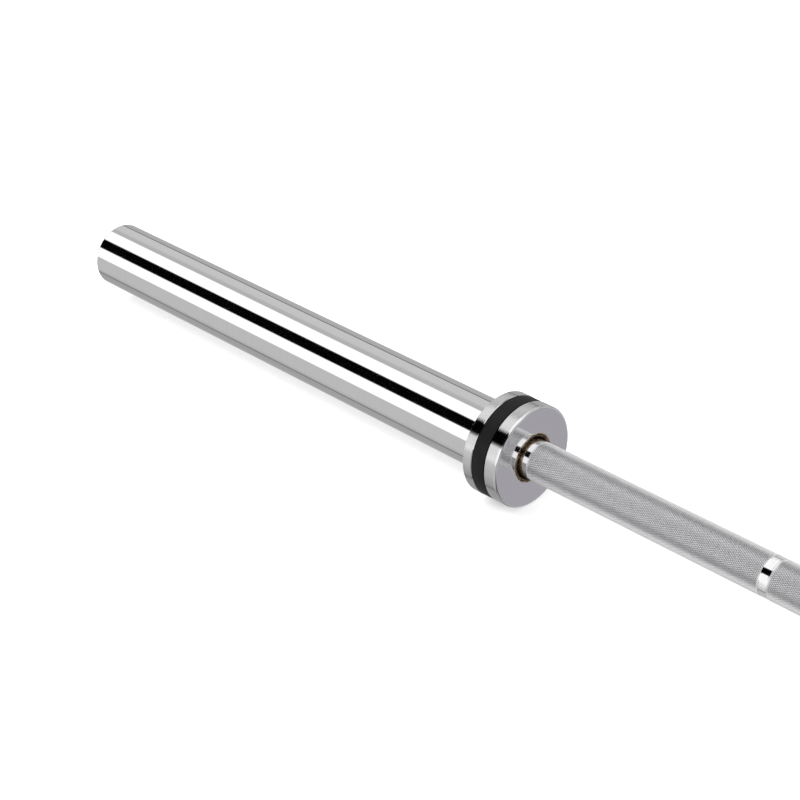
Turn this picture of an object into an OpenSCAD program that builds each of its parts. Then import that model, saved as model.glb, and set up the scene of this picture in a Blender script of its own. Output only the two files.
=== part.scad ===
// Olympic barbell: a knurled shaft with a revolving plate sleeve on each end.
// The bar lies along X with its centre at the origin, and +Z is up.
// Each end is drawn once, in a frame whose X starts at the inner face of the
// collar and runs out to the tip of the sleeve, and is then placed on both sides.

/* [Grip] */
// Clear length between the two collars
grip_length = 1310; // [1200:5:1330]
// Diameter of the shaft where it is plain
shaft_d = 28; // [27:0.5:32]
// Height of the knurl crests over the plain shaft
knurl_rise = 0.15; // [0.05:0.05:0.3]
// Plain length left between each collar and the outer knurl
plain_at_collar = 6.5; // [4:0.5:20]
// Distance from each collar to the inner end of the outer knurl
outer_knurl_reach = 430; // [300:5:480]
// Length of the centre knurl
centre_knurl_length = 120; // [60:5:160]
// Distance between the two grip marks, centre to centre
mark_spacing = 910; // [800:5:920]
// Width of each grip mark
mark_width = 5.5; // [3:0.5:8]
// Depth of each grip mark under the plain shaft
mark_depth = 0.1; // [0.05:0.05:0.3]

/* [Sleeve] */
// Length of sleeve outside the collar that takes plates
loading_length = 415; // [330:5:440]
// Outside diameter of the sleeve
sleeve_d = 50; // [49:0.1:51]
// Bore of the sleeve between its two bearings
middle_bore_d = 29.6; // [27:0.2:31]
// Chamfer on the tip of the sleeve
sleeve_tip_chamfer = 1; // [0.5:0.25:2]

/* [Collar] */
// Thickness of the collar along the bar
collar_length = 30; // [28:1:40]
// Outside diameter of the collar
collar_d = 74; // [68:1:90]
// Radius of the collar's edge beside the grip
collar_edge_radius = 2; // [1:0.25:3]
// Chamfer of the collar's edge beside the plates
collar_back_chamfer = 0.5; // [0.25:0.25:1.5]
// Length of sleeve tube that is held inside the collar
socket_depth = 22; // [15:1:24]
// Step from the sleeve down to the spigot that the collar is pressed on
spigot_step = 0.5; // [0.3:0.1:1]
// Distance from the collar's inner face to the band's centre
band_centre = 16.2; // [15:0.1:19]
// Width of the groove for the band
band_groove_width = 12; // [8:0.5:14]
// Depth of the groove for the band
band_groove_depth = 1; // [0.6:0.1:2]
// Bare floor of the groove on each side of the band
band_side_gap = 0.6; // [0.2:0.1:1.5]
// How far the band lies below the collar's surface
band_inset = 0.2; // [0.1:0.05:0.4]

/* [Bushings] */
// Wall of the inner bushing
inner_bushing_wall = 4; // [3.8:0.1:5]
// Length of the inner bushing behind the collar's inner face
inner_bushing_reach = 28; // [20:1:40]
// Depth of the countersink in the inner bushing's mouth
mouth_depth = 2.4; // [1:0.2:4]
// Radial width of the countersink
mouth_width = 1.8; // [0.8:0.1:2]
// Width and depth of the fine groove turned in the inner bushing's face
face_groove = 0.4; // [0.2:0.1:0.6]
// Depth of the grease grooves in both bushings
grease_groove_depth = 0.5; // [0.3:0.1:0.8]
// Width of the grease grooves in both bushings
grease_groove_width = 2.5; // [1.5:0.5:4]
// Length of the outer bushing behind its flange
outer_bushing_length = 20; // [15:1:30]
// Thickness of the outer bushing's flange
outer_flange_length = 2; // [1.5:0.25:4]

/* [Needle bearings] */
// Step from the plain shaft down to the journal that the bearings run on
journal_step = 1.5; // [1.5:0.1:2]
// Diameter of one needle roller
roller_d = 2.5; // [2:0.1:2.6]
// Length of one needle roller
roller_length = 15; // [12:0.5:16]
// Number of rollers in one bearing
roller_count = 22; // [16:1:24]
// Wall of the drawn cup
cup_wall = 1; // [0.8:0.1:1.1]
// Overall length of one bearing
bearing_length = 20; // [20:1:26]
// Radial thickness of the cage
cage_wall = 1.5; // [1:0.1:1.6]
// Cage left beyond each end of the rollers
cage_rim = 1.2; // [0.8:0.1:1.4]
// Distance from the inner thrust washer to the inner bearing
inner_bearing_offset = 4; // [2:1:30]
// Distance from the outer bushing to the outer bearing
outer_bearing_offset = 2; // [2:1:30]

/* [Axial stops] */
// Thickness of the thrust washers
washer_length = 1.5; // [1:0.1:2.5]
// Distance from the sleeve's tip to the seat of the outer bushing's flange
flange_seat_depth = 25; // [23:1:40]
// Thickness of the retaining ring on the shaft
shaft_ring_length = 1.2; // [1:0.1:1.5]
// Depth of the shaft's groove for that ring
shaft_ring_bite = 0.6; // [0.4:0.1:1]
// Radial width of that ring opposite its gap
shaft_ring_width = 3.8; // [3:0.1:4.2]
// Shaft left beyond the ring's groove
shaft_tail = 4; // [3:0.5:6]

/* [End cap] */
// Diameter of the bore behind the cap, which the flange and washer lie in
cap_rear_bore_d = 40; // [39:0.5:41]
// Width of the shoulder that the cap seats on
cap_shoulder = 1; // [0.6:0.1:1.2]
// Thickness of the end cap
cap_length = 6; // [5:0.5:7]
// Depth of the retaining ring's face below the sleeve's tip
cap_recess = 3; // [2:0.5:4]
// Thickness of the retaining ring in front of the cap
cap_ring_length = 1.75; // [1.5:0.25:2]
// Depth of the sleeve's groove for that ring
cap_ring_bite = 1.1; // [0.8:0.1:1.3]
// Radial width of that ring opposite its gap
cap_ring_width = 4; // [3:0.1:4.5]
// Thickness of the O-ring round the cap
o_ring_section = 1.8; // [1.4:0.1:2]
// Depth of the dish turned in the cap's face
cap_dish_depth = 0.8; // [0.4:0.1:1.5]
// Radius of that dish
cap_dish_r = 13; // [9:0.5:14]

/* [Clearances] */
// Radial gap drawn between pieces that are pressed together
press_gap = 0.02; // [0.01:0.01:0.04]
// Radial gap between a bushing and the shaft
running_gap = 0.05; // [0.03:0.01:0.1]
// Gap at each side of a needle roller, to its two tracks
roller_gap = 0.015; // [0.01:0.005:0.03]
// Gap between a roller and its pocket
pocket_gap = 0.06; // [0.03:0.01:0.1]
// Axial gap beside washers, rings and cages
axial_gap = 0.15; // [0.1:0.05:0.3]

/* [Hidden] */
$fn = 96;
overlap = 1;                       // how far a cutter runs past what it cuts
knurl_bevel = 1;                   // length of the taper at the end of a knurl
edge_break = 0.3;                  // small chamfer on washers and cups

// Radii, from the axis outwards
shaft_r = shaft_d / 2;
journal_r = shaft_r - journal_step;
cup_track_r = journal_r + roller_d + 2 * roller_gap;
sleeve_bore_r = cup_track_r + cup_wall + press_gap;
inner_bushing_r = shaft_r + running_gap + inner_bushing_wall;
bushing_bore_r = inner_bushing_r + press_gap;
sleeve_r = sleeve_d / 2;
middle_bore_r = middle_bore_d / 2;
collar_r = collar_d / 2;
spigot_r = sleeve_r - spigot_step;
socket_r = spigot_r + press_gap;
groove_floor_r = collar_r - band_groove_depth;
rear_bore_r = cap_rear_bore_d / 2;
cap_bore_r = rear_bore_r + cap_shoulder;

// Stations along one end, measured out from the collar's inner face
sleeve_end = collar_length + loading_length;
tube_start = collar_length - socket_depth;
shoulder_at = inner_bushing_reach + axial_gap;
inner_washer_at = shoulder_at + axial_gap / 2;
inner_step_at = inner_washer_at + washer_length + axial_gap;
inner_bearing_at = inner_step_at + inner_bearing_offset;
flange_seat_at = sleeve_end - flange_seat_depth;
outer_bearing_at = flange_seat_at - outer_bushing_length - outer_bearing_offset - bearing_length;
middle_bore_a = inner_bearing_at + bearing_length + axial_gap;
middle_bore_b = outer_bearing_at - axial_gap;
outer_washer_at = flange_seat_at + outer_flange_length + axial_gap;
shaft_ring_at = outer_washer_at + washer_length + axial_gap;
shaft_end = shaft_ring_at + shaft_ring_length + axial_gap + shaft_tail;
cap_ring_at = sleeve_end - cap_recess - cap_ring_length;
cap_front_at = cap_ring_at - axial_gap / 2;
cap_back_at = cap_front_at - cap_length;

sides = ["left", "right"];
end_pieces = [
    "sleeve_tube", "collar", "collar_band", "inner_bushing", "inner_thrust_washer",
    "inner_bearing_cup", "inner_bearing_cage", "inner_bearing_rollers",
    "outer_bearing_cup", "outer_bearing_cage", "outer_bearing_rollers",
    "outer_bushing", "outer_thrust_washer", "shaft_retaining_ring",
    "end_cap", "end_cap_o_ring", "end_cap_retaining_ring"
];

// Turns a profile, drawn with the radius along X and the length along Y, about the bar's axis
module turned() {
    rotate([0, 90, 0])
        rotate_extrude()
            children();
}

// Places one end of the bar, drawn outwards along +X from the collar's inner face
module at_end(side) {
    mirror([side == "left" ? 1 : 0, 0, 0])
        translate([grip_length / 2, 0, 0])
            children();
}

// Flat profile of a ring from r1 to r2 and from a to b along the axis
module section(r1, r2, a, b) {
    translate([r1, a])
        square([r2 - r1, b - a]);
}

// A ring with its four edges broken by a small chamfer
module plain_ring(r1, r2, a, b) {
    c = edge_break;
    turned()
        polygon([
            [r1 + c, a], [r2 - c, a], [r2, a + c], [r2, b - c],
            [r2 - c, b], [r1 + c, b], [r1, b - c], [r1, a + c]
        ]);
}

// Half of the shaft's outline, from the centre out to the tip, as [radius, station]
function shaft_outline() =
    let (
        knurl_r = shaft_r + knurl_rise,
        mark_r = shaft_r - mark_depth,
        collar_x = grip_length / 2,
        centre_end = centre_knurl_length / 2,
        outer_start = collar_x - outer_knurl_reach,
        outer_end = collar_x - plain_at_collar,
        mark_a = (mark_spacing - mark_width) / 2,
        mark_b = (mark_spacing + mark_width) / 2,
        groove_a = collar_x + shaft_ring_at,
        groove_b = groove_a + shaft_ring_length + axial_gap,
        groove_r = journal_r - shaft_ring_bite,
        tip = collar_x + shaft_end
    )
    [
        [knurl_r, 0],
        [knurl_r, centre_end - knurl_bevel], [shaft_r, centre_end],
        [shaft_r, outer_start], [knurl_r, outer_start + knurl_bevel],
        [knurl_r, mark_a - knurl_bevel], [mark_r, mark_a],
        [mark_r, mark_b], [knurl_r, mark_b + knurl_bevel],
        [knurl_r, outer_end - knurl_bevel], [shaft_r, outer_end],
        [shaft_r, collar_x + shoulder_at - edge_break],
        [shaft_r - edge_break, collar_x + shoulder_at],
        [journal_r, collar_x + shoulder_at],
        [journal_r, groove_a], [groove_r, groove_a],
        [groove_r, groove_b], [journal_r, groove_b],
        [journal_r, tip - edge_break], [journal_r - edge_break, tip]
    ];

// The one-piece shaft: knurled grip, two marks, and a stepped journal at each end
module shaft() {
    centre_drill_r = 3;
    centre_drill_depth = 5;
    half = shaft_outline();
    steps = len(half);
    tip = half[steps - 1][1];
    other_half = [for (i = [steps - 1 : -1 : 1]) [half[i][0], -half[i][1]]];
    color("silver")
        turned()
            polygon(concat(
                [[0, centre_drill_depth - tip], [centre_drill_r, -tip]],
                other_half,
                half,
                [[centre_drill_r, tip], [0, tip - centre_drill_depth]]
            ));
}

// The tube that takes the plates, stepped inside for its bushings, bearings and cap
module sleeve_tube() {
    c = sleeve_tip_chamfer;
    ring_groove_r = cap_bore_r + cap_ring_bite;
    color("gainsboro")
        turned()
            polygon([
                [bushing_bore_r, tube_start], [spigot_r, tube_start],
                [spigot_r, collar_length - spigot_step], [sleeve_r, collar_length],
                [sleeve_r, sleeve_end - c], [sleeve_r - c, sleeve_end],
                [cap_bore_r, sleeve_end],
                [cap_bore_r, sleeve_end - cap_recess],
                [ring_groove_r, sleeve_end - cap_recess],
                [ring_groove_r, cap_ring_at], [cap_bore_r, cap_ring_at],
                [cap_bore_r, cap_back_at], [rear_bore_r, cap_back_at],
                [rear_bore_r, flange_seat_at], [sleeve_bore_r, flange_seat_at],
                [sleeve_bore_r, middle_bore_b], [middle_bore_r, middle_bore_b],
                [middle_bore_r, middle_bore_a], [sleeve_bore_r, middle_bore_a],
                [sleeve_bore_r, inner_step_at], [bushing_bore_r, inner_step_at]
            ]);
}

// The collar: a thick turned ring with a socket for the tube and a groove for the band
module collar() {
    e = collar_edge_radius;
    c = collar_back_chamfer;
    groove_a = band_centre - band_groove_width / 2;
    groove_b = band_centre + band_groove_width / 2;
    color("gainsboro")
        turned() {
            polygon([
                [bushing_bore_r, 0], [collar_r - e, 0], [collar_r, e],
                [collar_r, groove_a], [groove_floor_r, groove_a],
                [groove_floor_r, groove_b], [collar_r, groove_b],
                [collar_r, collar_length - c], [collar_r - c, collar_length],
                [sleeve_r + press_gap, collar_length],
                [socket_r, collar_length - spigot_step], [socket_r, tube_start],
                [bushing_bore_r, tube_start]
            ]);
            translate([collar_r - e, e])
                circle(e);
        }
}

// The dark band laid in the collar's groove
module collar_band() {
    half = band_groove_width / 2 - band_side_gap;
    color([0.17, 0.17, 0.17])
        turned()
            section(groove_floor_r + press_gap, collar_r - band_inset,
                    band_centre - half, band_centre + half);
}

// The bronze bushing whose face shows round the shaft, with a countersunk mouth
module inner_bushing() {
    bore_r = shaft_r + running_gap;
    mouth_r = bore_r + mouth_width;
    ring_mid = (mouth_r + inner_bushing_r) / 2;
    mid = inner_bushing_reach / 2;
    g = grease_groove_width / 2;
    c = edge_break / 2;
    color([0.55, 0.42, 0.27])
        turned()
            polygon([
                [mouth_r, 0],
                [ring_mid - face_groove / 2, 0], [ring_mid, face_groove],
                [ring_mid + face_groove / 2, 0],
                [inner_bushing_r - c, 0], [inner_bushing_r, c],
                [inner_bushing_r, inner_bushing_reach],
                [bore_r, inner_bushing_reach],
                [bore_r, mid + g], [bore_r + grease_groove_depth, mid + g],
                [bore_r + grease_groove_depth, mid - g], [bore_r, mid - g],
                [bore_r, mouth_depth]
            ]);
}

// The bronze bushing near the tip, with a flange that takes the end thrust
module outer_bushing() {
    bore_r = journal_r + running_gap;
    outer_r = sleeve_bore_r - press_gap;
    flange_r = rear_bore_r - axial_gap;
    a = flange_seat_at - outer_bushing_length;
    b = flange_seat_at + outer_flange_length;
    mid = (a + b) / 2;
    g = grease_groove_width / 2;
    color([0.55, 0.42, 0.27])
        turned()
            polygon([
                [bore_r, a], [outer_r, a],
                [outer_r, flange_seat_at], [flange_r, flange_seat_at],
                [flange_r, b], [bore_r, b],
                [bore_r, mid + g], [bore_r + grease_groove_depth, mid + g],
                [bore_r + grease_groove_depth, mid - g], [bore_r, mid - g]
            ]);
}

// A thrust washer on the journal, starting at the given station
module thrust_washer(at, outer_r) {
    color("lightsteelblue")
        plain_ring(journal_r + axial_gap, outer_r, at, at + washer_length);
}

// The drawn cup of a needle bearing, with its lips turned in at both ends
module bearing_cup(at) {
    cup_r = sleeve_bore_r - press_gap;
    lip_r = journal_r + 2 * edge_break;
    b = at + bearing_length;
    color("darkgray")
        turned()
            polygon([
                [lip_r, at], [cup_r, at], [cup_r, b], [lip_r, b],
                [lip_r, b - cup_wall], [cup_track_r, b - cup_wall],
                [cup_track_r, at + cup_wall], [lip_r, at + cup_wall]
            ]);
}

// Repeats its children round the axis at the rollers' places
module round_the_rollers() {
    for (i = [0 : roller_count - 1])
        rotate([i * 360 / roller_count, 0, 0])
            translate([0, 0, journal_r + roller_gap + roller_d / 2])
                children();
}

// The cage that keeps the rollers apart: a thin tube with one pocket a roller
module bearing_cage(at) {
    mid = at + bearing_length / 2;
    half = roller_length / 2 + pocket_gap + cage_rim;
    pitch_r = journal_r + roller_gap + roller_d / 2;
    pocket_length = roller_length + 2 * pocket_gap;
    pocket_width = roller_d + 2 * pocket_gap;
    color("goldenrod")
        difference() {
            turned()
                section(pitch_r - cage_wall / 2, pitch_r + cage_wall / 2, mid - half, mid + half);
            round_the_rollers()
                translate([mid, 0, 0])
                    cube([pocket_length, pocket_width, cage_wall + 2 * overlap], center = true);
        }
}

// The needle rollers of one bearing, each a separate solid
module bearing_rollers(at) {
    mid = at + bearing_length / 2;
    color("white")
        round_the_rollers()
            translate([mid - roller_length / 2, 0, 0])
                rotate([0, 90, 0])
                    cylinder(d = roller_d, h = roller_length, $fn = 24);
}

// The open ring that snaps on the shaft's groove: widest opposite its gap, with two eyed lugs
module shaft_retaining_ring() {
    inner_r = journal_r - shaft_ring_bite;
    lug_r = 2.1;
    eye_r = 1;
    gap = 2.4;
    taper = shaft_ring_width / 5;
    lug_y = gap / 2 + lug_r;
    lug_z = inner_r + lug_r + taper;
    color("dimgray")
        translate([shaft_ring_at + axial_gap / 2, 0, 0])
            rotate([90, 0, 90])
                linear_extrude(shaft_ring_length)
                    difference() {
                        union() {
                            translate([0, -taper])
                                circle(inner_r + shaft_ring_width - taper);
                            for (s = [-1, 1])
                                translate([s * lug_y, lug_z])
                                    circle(lug_r);
                        }
                        circle(inner_r + press_gap);
                        translate([-gap / 2, 0])
                            square([gap, 2 * inner_r]);
                        for (s = [-1, 1])
                            translate([s * lug_y, lug_z])
                                circle(eye_r);
                    }
}

// The disc that closes the sleeve, with a groove for its O-ring and a dish in its face
module end_cap() {
    cap_r = cap_bore_r - press_gap;
    groove_r = cap_r - o_ring_section;
    mid = (cap_back_at + cap_front_at) / 2;
    g = o_ring_section / 2 + axial_gap;
    c = edge_break;
    color("silver")
        turned()
            polygon([
                [0, cap_back_at + press_gap], [cap_r, cap_back_at + press_gap],
                [cap_r, mid - g], [groove_r, mid - g],
                [groove_r, mid + g], [cap_r, mid + g],
                [cap_r, cap_front_at - c], [cap_r - c, cap_front_at],
                [cap_dish_r, cap_front_at],
                [cap_dish_r - cap_dish_depth, cap_front_at - cap_dish_depth],
                [0, cap_front_at - cap_dish_depth]
            ]);
}

// The O-ring that seals the cap in its bore
module end_cap_o_ring() {
    r = o_ring_section / 2 - press_gap;
    color([0.1, 0.1, 0.1])
        turned()
            translate([cap_bore_r - o_ring_section / 2 - press_gap, (cap_back_at + cap_front_at) / 2])
                circle(r, $fn = 32);
}

// The open ring that snaps in the sleeve's groove and holds the cap
module end_cap_retaining_ring() {
    outer_r = cap_bore_r + cap_ring_bite - press_gap;
    lug_r = 2.4;
    eye_r = 1.2;
    gap = 4;
    taper = cap_ring_width / 5;
    lug_y = gap / 2 + lug_r;
    lug_z = outer_r - cap_ring_bite - lug_r - taper;
    color("dimgray")
        translate([cap_ring_at + axial_gap / 4, 0, 0])
            rotate([90, 0, 90])
                linear_extrude(cap_ring_length - axial_gap / 2)
                    difference() {
                        union() {
                            difference() {
                                circle(outer_r);
                                translate([0, taper])
                                    circle(outer_r - cap_ring_width + taper);
                            }
                            for (s = [-1, 1])
                                translate([s * lug_y, lug_z])
                                    circle(lug_r);
                        }
                        translate([-gap / 2, 0])
                            square([gap, 2 * outer_r]);
                        for (s = [-1, 1])
                            translate([s * lug_y, lug_z])
                                circle(eye_r);
                    }
}

// Draws one named piece of one end
module end_piece(piece) {
    if (piece == "sleeve_tube") sleeve_tube();
    if (piece == "collar") collar();
    if (piece == "collar_band") collar_band();
    if (piece == "inner_bushing") inner_bushing();
    if (piece == "inner_thrust_washer") thrust_washer(inner_washer_at, bushing_bore_r - axial_gap);
    if (piece == "inner_bearing_cup") bearing_cup(inner_bearing_at);
    if (piece == "inner_bearing_cage") bearing_cage(inner_bearing_at);
    if (piece == "inner_bearing_rollers") bearing_rollers(inner_bearing_at);
    if (piece == "outer_bearing_cup") bearing_cup(outer_bearing_at);
    if (piece == "outer_bearing_cage") bearing_cage(outer_bearing_at);
    if (piece == "outer_bearing_rollers") bearing_rollers(outer_bearing_at);
    if (piece == "outer_bushing") outer_bushing();
    if (piece == "outer_thrust_washer") thrust_washer(outer_washer_at, rear_bore_r - axial_gap);
    if (piece == "shaft_retaining_ring") shaft_retaining_ring();
    if (piece == "end_cap") end_cap();
    if (piece == "end_cap_o_ring") end_cap_o_ring();
    if (piece == "end_cap_retaining_ring") end_cap_retaining_ring();
}

shaft();
for (side = sides, piece = end_pieces)
    at_end(side) end_piece(piece);
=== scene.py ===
"""Olympic barbell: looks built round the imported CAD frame."""

import math

import bpy
import numpy as np
from mathutils import Matrix, Vector


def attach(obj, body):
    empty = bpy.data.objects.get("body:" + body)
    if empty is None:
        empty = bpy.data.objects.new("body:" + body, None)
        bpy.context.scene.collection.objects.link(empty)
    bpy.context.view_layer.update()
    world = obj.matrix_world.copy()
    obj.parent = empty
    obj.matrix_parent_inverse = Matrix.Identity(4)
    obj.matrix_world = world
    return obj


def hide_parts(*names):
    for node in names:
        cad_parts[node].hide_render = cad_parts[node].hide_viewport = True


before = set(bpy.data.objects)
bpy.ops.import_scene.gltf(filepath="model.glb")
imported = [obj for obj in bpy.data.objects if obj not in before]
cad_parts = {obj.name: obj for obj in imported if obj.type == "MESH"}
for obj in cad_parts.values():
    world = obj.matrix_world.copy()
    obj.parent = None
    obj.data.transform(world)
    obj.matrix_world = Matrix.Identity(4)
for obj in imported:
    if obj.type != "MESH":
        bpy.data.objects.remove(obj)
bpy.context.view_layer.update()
scene = bpy.context.scene
MM = 0.001

# Sizes in millimetres, the same as in the part's source. Radii are from the bar's axis. A station is the
# distance from the collar's inner face outwards, and that face is COLLAR_X from the middle of the bar.
COLLAR_X = 655.0
COLLAR_R = 37.0
COLLAR_LENGTH = 30.0
COLLAR_ROUND = 2.0
GROOVE_R = 36.0
GROOVE_START, GROOVE_END = 10.2, 22.2
BAND_R = 36.8
SLEEVE_R = 25.0
SLEEVE_END = 445.0
SPIGOT_R = 24.5
SPIGOT_START, SPIGOT_END = 8.0, 29.5
PRESS_GAP = 0.02
COLLAR_BORE = SPIGOT_R + PRESS_GAP
BUSHING_BORE, BUSHING_BORE_END = 18.07, 29.875
BEARING_BORE = 16.05
MIDDLE_BORE = 14.8
MIDDLE_START, MIDDLE_END = 54.025, SLEEVE_END - 67.15
REAR_BORE, REAR_BORE_START = 20.0, SLEEVE_END - 25
CAP_BORE, CAP_SEAT = 21.0, SLEEVE_END - 10.825
CAP_RING_GROOVE = 22.1
CAP_RING_START, CAP_RING_END = SLEEVE_END - 4.75, SLEEVE_END - 3
SHAFT_R = 14.0
KNURL_RISE = 0.15
CENTRE_KNURL_LENGTH = 120.0
OUTER_KNURL_REACH, SMOOTH_END = 430.0, 6.5
MARK_SPACING, MARK_WIDTH, MARK_DEPTH = 910.0, 5.5, 0.1
JOURNAL_R, JOURNAL_START = 12.5, 28.15
RING_GROOVE_R = 11.9
RING_START, RING_END = 423.8, 425.15
SHAFT_END = 429.15
DRILL_R, DRILL_DEPTH = 3.0, 5.0

# Finer than in the solids: small roundings, lines and grooves, and a wider gap beside the band, painted dark
# as shade
COLLAR_BEVEL = 0.7
SLEEVE_ROUND = 1.15
BAND_ROUND = 0.3
BAND_START, BAND_END = 11.0, 21.4
TURNED_PITCH, TURNED_DEPTH = 0.5, 0.062
KNURL_DEPTH = 0.6
KNURL_COLUMNS = 126
HALF_DIAMOND = 1.28
ROUND_STEPS = 256


# Meshes
def mesh_object(name, verts, faces, smooth_deg=30, flat=None, slots=None):
    """A closed mesh from vertices in millimetres.

    flat marks the faces that stay flat-shaded, and slots gives each face its material's number.
    """
    mesh = bpy.data.meshes.new(name)
    mesh.from_pydata((np.asarray(verts) * MM).tolist(), [], faces)
    mesh.update()
    smooth = np.ones(len(faces), bool)
    if flat is not None:
        smooth &= ~np.asarray(flat, bool)
    mesh.polygons.foreach_set("use_smooth", smooth)
    if slots is not None:
        mesh.polygons.foreach_set("material_index", slots)
    mesh.set_sharp_from_angle(angle=math.radians(smooth_deg))
    obj = bpy.data.objects.new(name, mesh)
    scene.collection.objects.link(obj)
    return obj


def lathe(name, profile, side, parts=()):
    """Turns a closed outline of (radius, station) about the bar's axis.

    side is -1 for the left end and 1 for the right. The faces between two points that a test in parts
    accepts get the second material, the third and so on.
    """
    accepted = [[part(r, x) for part in parts] for r, x in profile]
    angle = np.arange(ROUND_STEPS) * 2 * np.pi / ROUND_STEPS
    ring = np.stack([np.cos(angle), np.sin(angle)], 1)
    verts = []
    for r, x in profile:
        verts.extend((side * (COLLAR_X + x), r * c, r * s) for c, s in ring)
    faces, slots = [], []
    for i in range(len(profile)):
        j = (i + 1) % len(profile)
        a, b = i * ROUND_STEPS, j * ROUND_STEPS
        both = [one and two for one, two in zip(accepted[i], accepted[j])]
        slot = both.index(True) + 1 if any(both) else 0
        for k in range(ROUND_STEPS):
            n = (k + 1) % ROUND_STEPS
            face = (a + k, a + n, b + n, b + k)
            faces.append(face if side > 0 else face[::-1])
            slots.append(slot)
    return mesh_object(name, verts, faces, slots=slots)


def arc(centre_x, centre_r, radius, start, end, steps):
    """Points (radius, station) on an arc. 0 degrees is outwards along the bar, and 90 away from its axis."""
    points = []
    for i in range(steps + 1):
        t = math.radians(start + (end - start) * i / steps)
        points.append((centre_r + radius * math.sin(t), centre_x + radius * math.cos(t)))
    return points


# Shader nodes
def math_node(tree, operation, a, b=None):
    node = tree.nodes.new("ShaderNodeMath")
    node.operation = operation
    for socket, value in zip(node.inputs, (a, b)):
        if value is None:
            continue
        if isinstance(value, (int, float)):
            socket.default_value = value
        else:
            tree.links.new(value, socket)
    return node.outputs[0]


def between(tree, value, low, high, out_low=0.0, out_high=1.0):
    """The value's way from low to high, as a number from out_low to out_high."""
    node = tree.nodes.new("ShaderNodeMapRange")
    node.inputs["From Min"].default_value = low
    node.inputs["From Max"].default_value = high
    node.inputs["To Min"].default_value = out_low
    node.inputs["To Max"].default_value = out_high
    tree.links.new(value, node.inputs["Value"])
    return node.outputs[0]


def ramp(tree, fac, stops):
    """A colour ramp. stops are (position, grey or colour)."""
    node = tree.nodes.new("ShaderNodeValToRGB")
    elements = node.color_ramp.elements
    while len(elements) > 1:
        elements.remove(elements[-1])
    for i, (position, colour) in enumerate(stops):
        element = elements[0] if i == 0 else elements.new(position)
        element.position = position
        if isinstance(colour, (int, float)):
            colour = (colour, colour, colour)
        element.color = (*colour, 1)
    tree.links.new(fac, node.inputs[0])
    return node.outputs[0]


def colour_mix(tree, fac, one, two, blend="MIX"):
    """The colour one where fac is 0, blended with two where it is 1."""
    node = tree.nodes.new("ShaderNodeMix")
    node.data_type = "RGBA"
    node.blend_type = blend
    tree.links.new(fac, node.inputs["Factor"])
    tree.links.new(one, node.inputs[6])
    tree.links.new(two, node.inputs[7])
    return node.outputs[2]


def sum_of(tree, one, weight, two, other_weight):
    """Two values, each times its weight, added up."""
    return math_node(tree, "ADD", math_node(tree, "MULTIPLY", one, weight),
                     math_node(tree, "MULTIPLY", two, other_weight))


def noise(tree, vector, scale, detail=2.0, rough=0.5):
    node = tree.nodes.new("ShaderNodeTexNoise")
    node.inputs["Scale"].default_value = scale
    node.inputs["Detail"].default_value = detail
    node.inputs["Roughness"].default_value = rough
    tree.links.new(vector, node.inputs["Vector"])
    return node.outputs["Fac"]


def bump(tree, bsdf, height, distance, strength=1.0):
    node = tree.nodes.new("ShaderNodeBump")
    node.inputs["Distance"].default_value = distance
    node.inputs["Strength"].default_value = strength
    tree.links.new(height, node.inputs["Height"])
    tree.links.new(node.outputs[0], bsdf.inputs["Normal"])


def object_axes(tree):
    """Object coordinates: the vector, its x, y and z, and the distance from the bar's axis."""
    coord = tree.nodes.new("ShaderNodeTexCoord")
    split = tree.nodes.new("ShaderNodeSeparateXYZ")
    tree.links.new(coord.outputs["Object"], split.inputs[0])
    x, y, z = split.outputs
    squares = math_node(tree, "ADD", math_node(tree, "MULTIPLY", y, y), math_node(tree, "MULTIPLY", z, z))
    return coord.outputs["Object"], x, y, z, math_node(tree, "SQRT", squares)


def flat_vector(tree, first, second):
    """A vector from two values, for noise that runs round the bar or along it."""
    node = tree.nodes.new("ShaderNodeCombineXYZ")
    tree.links.new(first, node.inputs[0])
    tree.links.new(second, node.inputs[1])
    return node.outputs[0]


# Materials
def material(name):
    mat = bpy.data.materials.new(name)
    mat.use_nodes = True
    tree = mat.node_tree
    tree.nodes.clear()
    out = tree.nodes.new("ShaderNodeOutputMaterial")
    bsdf = tree.nodes.new("ShaderNodeBsdfPrincipled")
    tree.links.new(bsdf.outputs[0], out.inputs[0])
    return mat, tree, bsdf


def turned_metal(name, colour, rough, streak=0.06, line_scale=900.0, line_depth=2e-7, mottle=0.03):
    """A turned metal: fine lines round the axis, a slight change of tone, and a mottle in the gloss."""
    mat, tree, bsdf = material(name)
    vector, x, _, _, radius = object_axes(tree)
    lines = noise(tree, flat_vector(tree, x, radius), line_scale, detail=3.0, rough=0.6)
    cloud = noise(tree, vector, 60.0, detail=3.0)
    low = tuple(c * (1 - streak) for c in colour)
    high = tuple(min(1.0, c * (1 + streak)) for c in colour)
    tone = ramp(tree, sum_of(tree, lines, 0.7, cloud, 0.3), [(0.35, low), (0.65, high)])
    tree.links.new(tone, bsdf.inputs["Base Color"])
    bsdf.inputs["Metallic"].default_value = 1.0
    gloss = between(tree, cloud, 0.35, 0.65, rough - mottle, rough + mottle)
    tree.links.new(gloss, bsdf.inputs["Roughness"])
    bump(tree, bsdf, lines, line_depth)
    return mat


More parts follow.
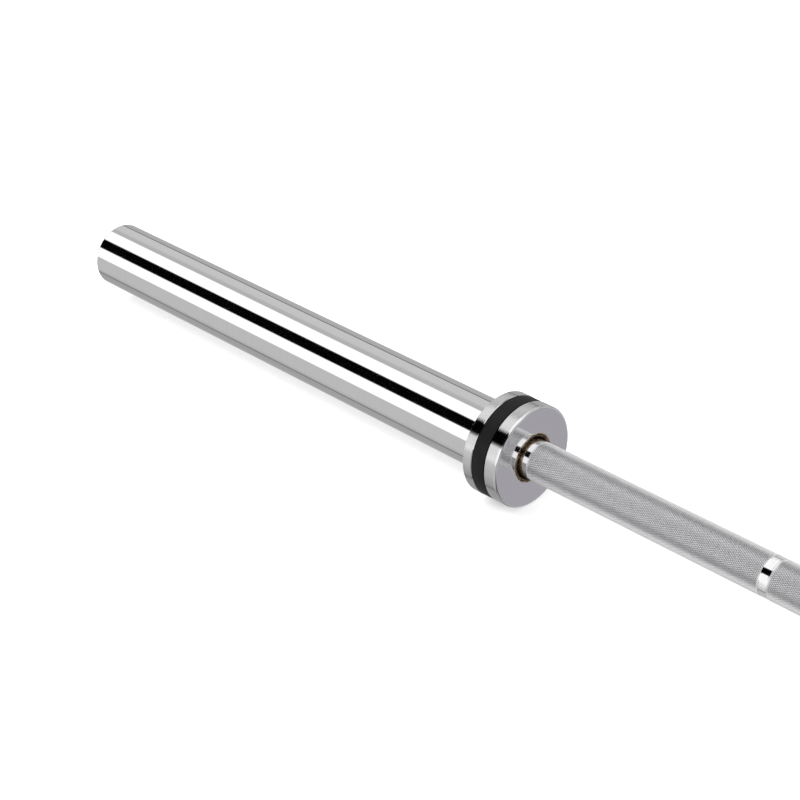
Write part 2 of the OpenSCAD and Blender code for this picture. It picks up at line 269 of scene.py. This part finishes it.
def knurl_material():
    """Chrome on the knurl, with shade painted dark into the grooves and highlight painted bright on the
    crests.
    """
    mat, tree, bsdf = material("knurl_chrome")
    vector, _, _, _, radius = object_axes(tree)
    cloud = noise(tree, vector, 220.0, detail=3.0)
    grain = noise(tree, vector, 2500.0)
    crest = SHAFT_R + KNURL_RISE
    # Painted light: by height, the base colour is darkened in the grooves as shade and brightened on the
    # crests as highlight
    groove_shade_crest_light = between(tree, radius, (crest - KNURL_DEPTH) * MM, crest * MM)
    tone = ramp(tree, sum_of(tree, groove_shade_crest_light, 0.86, cloud, 0.14), [
        (0.05, (0.46, 0.457, 0.468)), (0.45, (0.85, 0.845, 0.86)), (0.8, (1.0, 0.995, 1.0)),
    ])
    tree.links.new(tone, bsdf.inputs["Base Color"])
    bsdf.inputs["Metallic"].default_value = 1.0
    tree.links.new(between(tree, grain, 0.3, 0.7, 0.42, 0.54), bsdf.inputs["Roughness"])
    return mat


def band_material():
    """Satin black, with a fine grain."""
    mat, tree, bsdf = material("band")
    vector = object_axes(tree)[0]
    cloud = noise(tree, vector, 90.0, detail=4.0)
    grain = noise(tree, vector, 3500.0)
    tone = ramp(tree, cloud, [(0.3, (0.006, 0.006, 0.0064)), (0.7, (0.010, 0.010, 0.0104))])
    tree.links.new(tone, bsdf.inputs["Base Color"])
    bsdf.inputs["Specular IOR Level"].default_value = 0.18
    tree.links.new(between(tree, grain, 0.3, 0.7, 0.46, 0.58), bsdf.inputs["Roughness"])
    bump(tree, bsdf, grain, 8e-6, 0.5)
    return mat


def bushing_material():
    """Oiled bronze: shade painted dark in the countersink, highlights painted as pale rings and a pale rim,
    and streaks round it that are partly turned marks and partly painted glints.

    The tones were adjusted against colours measured by radius in the photograph.
    """
    mat, tree, bsdf = material("bushing_bronze")
    mouth, edge = SHAFT_R * MM, 18.2 * MM
    rim_start, rim_end = 17.5 * MM, 17.8 * MM
    _, _, y, z, radius = object_axes(tree)
    turned = flat_vector(tree, math_node(tree, "MULTIPLY", math_node(tree, "ARCTAN2", z, y), 4.0),
                         math_node(tree, "MULTIPLY", radius, 900.0))
    lines = noise(tree, turned, 1.3, detail=3.0, rough=0.65)
    sway = math_node(tree, "MULTIPLY", math_node(tree, "SUBTRACT", lines, 0.5), 1.6 * MM)
    place = between(tree, math_node(tree, "ADD", radius, sway), mouth, edge)
    # Painted light by radius: shade dark in the countersink, pale rings between as painted highlights, and a
    # painted highlight at the rim
    tone = ramp(tree, place, [
        (0.0, (0.06, 0.04, 0.022)), (0.40, (0.12, 0.08, 0.047)), (0.48, (0.48, 0.36, 0.25)),
        (0.54, (0.15, 0.10, 0.06)), (0.66, (0.32, 0.23, 0.15)), (0.74, (0.78, 0.62, 0.46)),
        (0.80, (0.28, 0.20, 0.13)), (0.9, (0.62, 0.48, 0.35)), (0.94, (1.0, 0.87, 0.73)),
    ])
    # Streaks that are partly turned marks and partly painted glints; the painted rim highlight is kept free
    # of them
    streaks_and_glints = ramp(tree, lines, [(0.40, 0.16), (0.5, 0.5), (0.58, 1.0)])
    inside_rim = between(tree, radius, rim_start, rim_end, 1.0, 0.0)
    tree.links.new(colour_mix(tree, inside_rim, tone, streaks_and_glints, "MULTIPLY"), bsdf.inputs["Base Color"])
    bsdf.inputs["Metallic"].default_value = 0.9
    tree.links.new(between(tree, lines, 0.3, 0.7, 0.22, 0.42), bsdf.inputs["Roughness"])
    bump(tree, bsdf, lines, 4e-6, 0.8)
    return mat


def rubber_material():
    """Matt black rubber."""
    mat, tree, bsdf = material("o_ring_rubber")
    grain = noise(tree, object_axes(tree)[0], 900.0, detail=3.0)
    tone = ramp(tree, grain, [(0.3, (0.016, 0.016, 0.017)), (0.7, (0.028, 0.028, 0.029))])
    tree.links.new(tone, bsdf.inputs["Base Color"])
    bsdf.inputs["Roughness"].default_value = 0.55
    bump(tree, bsdf, grain, 5e-6, 0.5)
    return mat


CHROME_GREY = (0.866, 0.865, 0.872)
sleeve_chrome = turned_metal("sleeve_chrome", CHROME_GREY, 0.055, streak=0.02, line_depth=1e-7, mottle=0.012)
shaft_polished = turned_metal("shaft_polished", CHROME_GREY, 0.05, streak=0.02, line_depth=1e-7, mottle=0.01)
collar_face = turned_metal("collar_face", (0.77, 0.765, 0.785), 0.09, streak=0.012, line_depth=4e-8,
                           mottle=0.01)
collar_turned = turned_metal("collar_turned", (0.63, 0.63, 0.632), 0.055, streak=0.03, line_scale=2500.0,
                             line_depth=1e-6, mottle=0.01)
# The groove's floor and walls beside the band are painted near black as shade
groove_painted_shade = turned_metal("groove_painted_shade", (0.03, 0.03, 0.03), 0.5, streak=0.2)
cap_chrome = turned_metal("cap_chrome", (0.8, 0.802, 0.81), 0.2, streak=0.05, line_depth=6e-7)
washer_steel = turned_metal("washer_steel", (0.62, 0.63, 0.65), 0.3)
cup_steel = turned_metal("cup_steel", (0.55, 0.55, 0.57), 0.33)
cage_steel = turned_metal("cage_steel", (0.45, 0.42, 0.38), 0.38)
roller_steel = turned_metal("roller_steel", (0.75, 0.75, 0.77), 0.14)
spring_steel = turned_metal("spring_steel", (0.12, 0.12, 0.125), 0.4, streak=0.2)
bronze = turned_metal("bronze", (0.42, 0.28, 0.15), 0.36, streak=0.2)
knurl_chrome = knurl_material()
band_dark = band_material()
bushing_bronze = bushing_material()
o_ring_rubber = rubber_material()

end_materials = {
    "sleeve_tube": sleeve_chrome, "collar": collar_turned, "collar_band": band_dark,
    "inner_bushing": bushing_bronze, "inner_thrust_washer": washer_steel,
    "inner_bearing_cup": cup_steel, "inner_bearing_cage": cage_steel,
    "inner_bearing_rollers": roller_steel,
    "outer_bearing_cup": cup_steel, "outer_bearing_cage": cage_steel,
    "outer_bearing_rollers": roller_steel,
    "outer_bushing": bronze, "outer_thrust_washer": washer_steel, "shaft_retaining_ring": spring_steel,
    "end_cap": cap_chrome, "end_cap_o_ring": o_ring_rubber, "end_cap_retaining_ring": spring_steel,
}
for name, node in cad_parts.items():
    mat = shaft_polished if name == "shaft" else end_materials[name.split("_", 1)[1]]
    node.data.materials.clear()
    node.data.materials.append(mat)


def dress(piece, mats, body, node):
    """Gives a piece its materials and its body, and shows it in place of a node."""
    for mat in mats:
        piece.data.materials.append(mat)
    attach(piece, body)
    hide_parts(node)


# The sleeve, the collar and the band of each end. A point held close to a rounding keeps its shading off
# the straight wall.
def turned_lines(start, end):
    """The collar's rim from start to end, with the fine lines that turning leaves."""
    steps = 4 * round((end - start) / TURNED_PITCH)
    points = []
    for i in range(steps + 1):
        height = (1, 0.5, 0, 0.5)[i % 4]
        points.append((COLLAR_R - TURNED_DEPTH * (1 - height), start + (end - start) * i / steps))
    return points


def dress_sleeve(side, word):
    """The plate sleeve's tube: its spigot in the collar, its wall, its rounded tip and its stepped bore."""
    held, bore_bevel = 0.45, 0.3
    round_start = SLEEVE_END - SLEEVE_ROUND
    outline = [(SPIGOT_R, SPIGOT_START), (SPIGOT_R, SPIGOT_END), (SLEEVE_R, COLLAR_LENGTH)]
    outline += [(SLEEVE_R, round_start - held), (SLEEVE_R, round_start)]
    outline += arc(round_start, SLEEVE_R - SLEEVE_ROUND, SLEEVE_ROUND, 90, 0, 8)[1:]
    outline += [(CAP_BORE + bore_bevel, SLEEVE_END), (CAP_BORE, SLEEVE_END - bore_bevel)]
    outline += [(CAP_BORE, CAP_RING_END), (CAP_RING_GROOVE, CAP_RING_END)]
    outline += [(CAP_RING_GROOVE, CAP_RING_START), (CAP_BORE, CAP_RING_START)]
    outline += [(CAP_BORE, CAP_SEAT), (REAR_BORE, CAP_SEAT)]
    outline += [(REAR_BORE, REAR_BORE_START), (BEARING_BORE, REAR_BORE_START)]
    outline += [(BEARING_BORE, MIDDLE_END), (MIDDLE_BORE, MIDDLE_END)]
    outline += [(MIDDLE_BORE, MIDDLE_START), (BEARING_BORE, MIDDLE_START)]
    outline += [(BEARING_BORE, BUSHING_BORE_END), (BUSHING_BORE, BUSHING_BORE_END)]
    outline += [(BUSHING_BORE, SPIGOT_START)]
    piece = lathe(word + "_sleeve_tube_polished", outline, side)
    dress(piece, [sleeve_chrome], word + "_sleeve", word + "_sleeve_tube")


def dress_collar(side, word):
    """The collar: a polished face, a turned rim, and the groove in it, painted dark as shade."""
    held_inner, held_outer = 0.3, 0.2
    inner_bevel, outer_bevel = 0.25, 0.45       # on the groove's two edges
    margin = 0.1
    bevel_start = COLLAR_LENGTH - COLLAR_BEVEL
    outline = [(BUSHING_BORE, SPIGOT_START), (BUSHING_BORE, 0), (COLLAR_R - COLLAR_ROUND - held_inner, 0)]
    outline += arc(COLLAR_ROUND, COLLAR_R - COLLAR_ROUND, COLLAR_ROUND, 180, 90, 14)
    outline += turned_lines(COLLAR_ROUND + held_inner, GROOVE_START - inner_bevel)
    outline += [(COLLAR_R - inner_bevel, GROOVE_START), (GROOVE_R, GROOVE_START)]
    outline += [(GROOVE_R, GROOVE_END), (COLLAR_R - outer_bevel, GROOVE_END)]
    outline += turned_lines(GROOVE_END + outer_bevel, bevel_start - held_outer) + [(COLLAR_R, bevel_start)]
    outline += arc(bevel_start, COLLAR_R - COLLAR_BEVEL, COLLAR_BEVEL, 90, 0, 6)[1:]
    outline += [(COLLAR_R - COLLAR_BEVEL - held_outer, COLLAR_LENGTH)]
    outline += [(SLEEVE_R + PRESS_GAP, COLLAR_LENGTH)]
    outline += [(COLLAR_BORE, SPIGOT_END), (COLLAR_BORE, SPIGOT_START)]

    def on_face(r, x):
        return x < COLLAR_ROUND - margin or r < GROOVE_R - margin

    # The groove's faces, which get the painted shade
    def in_groove(r, x):
        return GROOVE_START - margin < x < GROOVE_END + margin and r < COLLAR_R - 2 * margin

    piece = lathe(word + "_collar_polished", outline, side, parts=(on_face, in_groove))
    mats = [collar_turned, collar_face, groove_painted_shade]
    dress(piece, mats, word + "_sleeve", word + "_collar")


def dress_band(side, word):
    """The band in the collar's groove."""
    bottom, round_r = GROOVE_R + PRESS_GAP, BAND_R - BAND_ROUND
    outline = [(bottom, BAND_END), (bottom, BAND_START)]
    outline += arc(BAND_START + BAND_ROUND, round_r, BAND_ROUND, 180, 90, 4)
    outline += arc(BAND_END - BAND_ROUND, round_r, BAND_ROUND, 90, 0, 4)
    piece = lathe(word + "_band_satin", outline, side)
    dress(piece, [band_dark], word + "_sleeve", word + "_collar_band")


for side, word in ((-1, "left"), (1, "right")):
    dress_sleeve(side, word)
    dress_collar(side, word)
    dress_band(side, word)


# The shaft. Its knurl's pyramids stand in columns round it, every other one half a diamond further along.
def shaft_rings():
    """The shaft's rings from left to right, as (x, radii, whether the knurl runs on to the next ring)."""
    even = (np.arange(KNURL_COLUMNS) % 2) == 0
    crest = SHAFT_R + KNURL_RISE
    valley = crest - KNURL_DEPTH
    rings = []

    def plain(points):
        for x, r in points:
            rings.append((x, np.full(KNURL_COLUMNS, float(r)), False))

    def knurl(start, end):
        steps = max(2, round((end - start) / HALF_DIAMOND))
        for i, x in enumerate(np.linspace(start, end, steps + 1)):
            r = np.where(even if i % 2 == 0 else ~even, crest, valley)
            if i in (0, steps):
                r = np.full(KNURL_COLUMNS, SHAFT_R)
            rings.append((x, r, i < steps))

    def mirrored(points):
        return [(-x, r) for x, r in reversed(points)]

    centre_end = CENTRE_KNURL_LENGTH / 2
    grip_start, grip_end = COLLAR_X - OUTER_KNURL_REACH, COLLAR_X - SMOOTH_END
    mark_start, mark_end = (MARK_SPACING - MARK_WIDTH) / 2, (MARK_SPACING + MARK_WIDTH) / 2
    mark_r, mark_rim, mark_foot = SHAFT_R - MARK_DEPTH, 0.2, 0.1
    run_out, mark_gap, bevel = 0.4, 0.6, 0.3
    smooth = [(centre_end + run_out, SHAFT_R), (grip_start - run_out, SHAFT_R)]
    mark = [(mark_start - mark_rim, SHAFT_R), (mark_start + mark_foot, mark_r)]
    mark += [(mark_end - mark_foot, mark_r), (mark_end + mark_rim, SHAFT_R)]
    outer = [(grip_end + run_out, SHAFT_R), (COLLAR_X - 3, SHAFT_R), (COLLAR_X, SHAFT_R)]
    stations = [
        (JOURNAL_START - bevel, SHAFT_R), (JOURNAL_START, SHAFT_R - bevel), (JOURNAL_START, JOURNAL_R),
        (200, JOURNAL_R), (RING_START, JOURNAL_R), (RING_START, RING_GROOVE_R), (RING_END, RING_GROOVE_R),
        (RING_END, JOURNAL_R), (SHAFT_END - bevel, JOURNAL_R), (SHAFT_END, JOURNAL_R - bevel),
    ]
    outer += [(COLLAR_X + station, r) for station, r in stations]

    plain(mirrored(outer))
    knurl(-grip_end, -mark_end - mark_gap)
    plain(mirrored(mark))
    knurl(-mark_start + mark_gap, -grip_start)
    plain(mirrored(smooth))
    knurl(-centre_end, centre_end)
    plain(smooth)
    knurl(grip_start, mark_start - mark_gap)
    plain(mark)
    knurl(mark_end + mark_gap, grip_end)
    plain(outer)
    return rings


def knurled_shaft():
    """The shaft with its knurl as real pyramids: two crossing sets of grooves, cut 29 degrees to the axis."""
    count = KNURL_COLUMNS
    rings = shaft_rings()
    angle = np.arange(count) * 2 * np.pi / count
    cos, sin = np.cos(angle), np.sin(angle)
    verts = np.concatenate([np.stack([np.full(count, x), r * cos, r * sin], 1) for x, r, _ in rings]).tolist()
    faces, flat = [], []        # flat marks the knurl's faces, which also get the second material
    for i in range(len(rings) - 1):
        a, b = i * count, (i + 1) * count
        ra, rb, knurled = rings[i][1], rings[i + 1][1], rings[i][2]
        for k in range(count):
            n = (k + 1) % count
            p, q, r, s = a + k, a + n, b + n, b + k
            if not knurled:
                faces.append((p, q, r, s))
                flat.append(False)
            elif ra[k] + rb[n] > ra[n] + rb[k]:
                faces += [(p, q, s), (q, r, s)]
                flat += [True, True]
            else:
                faces += [(p, q, r), (p, r, s)]
                flat += [True, True]
    for ring, sign in ((0, -1), (len(rings) - 1, 1)):
        x = rings[ring][0]
        drill = len(verts)
        verts += [(x, DRILL_R * c, DRILL_R * s) for c, s in zip(cos, sin)]
        centre = len(verts)
        verts.append((x - sign * DRILL_DEPTH, 0, 0))
        base = ring * count
        for k in range(count):
            n = (k + 1) % count
            pair = [(base + k, base + n, drill + n, drill + k), (drill + k, drill + n, centre)]
            faces += pair if sign > 0 else [f[::-1] for f in pair]
            flat += [False, False]
    return mesh_object("shaft_knurled", verts, faces, 10, flat, [int(f) for f in flat])


dress(knurled_shaft(), [shaft_polished, knurl_chrome], "shaft", "shaft")

# What polished metal mirrors: cards that hang round the bar. A card runs from one angle to another in the
# plane across the bar, where 0 is level in front of the bar, 90 straight up and 180 level behind it. Its
# third value is the display level at which chrome shows it, or a colour. From one card to the next the
# light fades evenly. The angles and levels were simplified from brightness measured by angle in the
# photograph.
CARD_STRENGTH = 1.25
SOFT_STRENGTH = 0.62
FRONT_BOX = (-7, 25.2, 262)
DARK_GAP = (27.8, 59.8, 2)
TOP_BOX = (62.3, 98.8, 262)
COOL_FLOOR = (0.360, 0.353, 0.375)
sleeve_cards = [
    (-180, -166, 168), (-150, -136, 219), (-118, -117, 182), (-108, -74, 158), (-70.5, -69.5, 105),
    (-65, -64, 172), (-52, -9, 185), FRONT_BOX, DARK_GAP, TOP_BOX, (101.3, 112, 176), (122, 153, 194),
    (155.5, 157, 60), (159.5, 180, 168),
]
# Towards the grip the top box is wider, and the room round the boxes is darker
grip_cards = [
    (-180, -122, COOL_FLOOR), (-98, -78, 95), (-50, -9, 150), FRONT_BOX, DARK_GAP, (62.3, 112, 262),
    (127, 128, 155), (150, 168, 185), (180, 180, 120),
]
# At a slant of about 25 degrees, and along the bar, there is more white cloth
wide_cards = [
    (-180, -150, 200), (-125, -70, 184), (-66, -65, 80), (-61, -60, 186), (-50, -46, 198),
    (-35, -26, 224), (-12, 29, 248), (33, 61.5, 2), (65.5, 128, 248), (150, 151, 205), (154, 155, 80),
    (158, 180, 200),
]
# Beyond the left end it is brightest low in front
left_cards = [
    (-180, -166, 230), (-150, -144, 110), (-125, -95, 195), (-88, -70, 205), (-66, -65, 60),
    (-61, -50, 235), (-38, -10, 262), (0, 10, 170), (22, 29, 90), (33, 61.5, 2), (65.5, 72, 100),
    (84, 92, 180), (100, 128, 160), (150, 151, 180), (154, 155, 60), (158, 180, 235),
]
# Beyond the right end it is dark, apart from the floor and what stands behind the bar
right_cards = [(-180, -150, 200), (-125, -70, 184), (-45, 135, 85), (158, 180, 200)]


def linear(level):
    """Linear value of a display level from 0 to 255."""
    c = level / 255
    return c / 12.92 if c <= 0.04045 else ((c + 0.055) / 1.055) ** 2.4


def card_ring(tree, turn, cards):
    """The cards as a colour ramp, which runs once round the bar."""
    stops = []
    for first, last, level in cards:
        light = level if isinstance(level, tuple) else linear(level) / (CHROME_GREY[1] * CARD_STRENGTH)
        stops += [((first + 180) / 360, light), ((last + 180) / 360, light)]
    return ramp(tree, turn, stops)


def background(tree, strength, colour=None):
    """Light of one strength from all round, white where no colour is given."""
    node = tree.nodes.new("ShaderNodeBackground")
    node.inputs["Strength"].default_value = strength
    if colour is None:
        node.inputs["Color"].default_value = (1, 1, 1, 1)
    else:
        tree.links.new(colour, node.inputs["Color"])
    return node.outputs[0]


def shader_mix(tree, fac, one, two):
    node = tree.nodes.new("ShaderNodeMixShader")
    for socket, value in zip(node.inputs, (fac, one, two)):
        tree.links.new(value, socket)
    return node.outputs[0]


def studio():
    """Soft even light, cards that only polished metal mirrors, and white for the camera."""
    world = bpy.data.worlds.new("studio")
    scene.world = world
    world.use_nodes = True
    tree = world.node_tree
    tree.nodes.clear()
    coord = tree.nodes.new("ShaderNodeTexCoord")
    split = tree.nodes.new("ShaderNodeSeparateXYZ")
    tree.links.new(coord.outputs["Generated"], split.inputs[0])
    x, y, z = split.outputs
    turn = math_node(tree, "ARCTAN2", z, math_node(tree, "MULTIPLY", y, -1.0))
    turn = math_node(tree, "ADD", math_node(tree, "DIVIDE", turn, 2 * math.pi), 0.5)

    # x runs from -1 beyond the left end to 1 beyond the right end
    along = math_node(tree, "ABSOLUTE", x)
    slant = math_node(tree, "MINIMUM", between(tree, along, 0.10, 0.42), between(tree, along, 0.53, 0.455))
    wide = math_node(tree, "MAXIMUM", between(tree, along, 0.76, 0.90), slant)
    seen = card_ring(tree, turn, sleeve_cards)
    for share, cards in (
        (between(tree, x, -0.05, 0.05), grip_cards),
        (wide, wide_cards),
        (between(tree, x, -0.76, -0.83), left_cards),
        (between(tree, x, 0.87, 0.93), right_cards),
    ):
        seen = colour_mix(tree, share, seen, card_ring(tree, turn, cards))

    path = tree.nodes.new("ShaderNodeLightPath")
    light = shader_mix(tree, path.outputs["Is Glossy Ray"], background(tree, SOFT_STRENGTH),
                       background(tree, CARD_STRENGTH, seen))
    light = shader_mix(tree, path.outputs["Is Camera Ray"], light, background(tree, 1.0))
    out = tree.nodes.new("ShaderNodeOutputWorld")
    tree.links.new(light, out.inputs[0])


def lamp(name, place, target, size, watts):
    """A soft rectangular lamp that metal doesn't mirror."""
    data = bpy.data.lights.new(name, "AREA")
    data.shape = "RECTANGLE"
    data.size, data.size_y = size
    data.energy = watts
    obj = bpy.data.objects.new(name, data)
    scene.collection.objects.link(obj)
    obj.location = place
    obj.rotation_euler = (Vector(target) - Vector(place)).to_track_quat("-Z", "Y").to_euler()
    obj.visible_glossy = False
    obj.visible_camera = False


def floor():
    """A pale floor under the collars, lifted towards white for the camera alone."""
    reach, lift, z = 9, 0.5, -COLLAR_R * MM
    corners = [(-reach, -reach, z), (reach, -reach, z), (reach, reach, z), (-reach, reach, z)]
    mesh = bpy.data.meshes.new("floor")
    mesh.from_pydata(corners, [], [(0, 1, 2, 3)])
    obj = bpy.data.objects.new("floor", mesh)
    scene.collection.objects.link(obj)
    mat = bpy.data.materials.new("floor")
    mat.use_nodes = True
    tree = mat.node_tree
    tree.nodes.clear()
    diffuse = tree.nodes.new("ShaderNodeBsdfDiffuse")
    diffuse.inputs["Color"].default_value = (0.8, 0.8, 0.8, 1)
    glow = tree.nodes.new("ShaderNodeEmission")
    path = tree.nodes.new("ShaderNodeLightPath")
    tree.links.new(math_node(tree, "MULTIPLY", path.outputs["Is Camera Ray"], lift), glow.inputs["Strength"])
    both = tree.nodes.new("ShaderNodeAddShader")
    out = tree.nodes.new("ShaderNodeOutputMaterial")
    tree.links.new(diffuse.outputs[0], both.inputs[0])
    tree.links.new(glow.outputs[0], both.inputs[1])
    tree.links.new(both.outputs[0], out.inputs[0])
    obj.data.materials.append(mat)
    obj.visible_glossy = False


def photo_camera():
    """The camera fitted to the photograph."""
    data = bpy.data.cameras.new("camera")
    data.lens = 93.746
    data.sensor_width = 36
    camera = bpy.data.objects.new("camera", data)
    scene.collection.objects.link(camera)
    camera.matrix_world = Matrix((
        (0.70385, -0.35086, 0.61765, 0.13338),
        (0.71035, 0.34765, -0.612, -0.90672),
        (0.0, 0.86951, 0.49392, 0.7253),
        (0, 0, 0, 1),
    ))
    scene.camera = camera


studio()
lamp("key", place=(-1.2, -1.6, 2.2), target=(-0.5, 0, 0), size=(2.4, 1.2), watts=42)
lamp("fill", place=(0.8, 0.9, 2.0), target=(-0.3, 0, 0), size=(2.0, 1.2), watts=18)
floor()
photo_camera()
scene.view_settings.view_transform = "Standard"
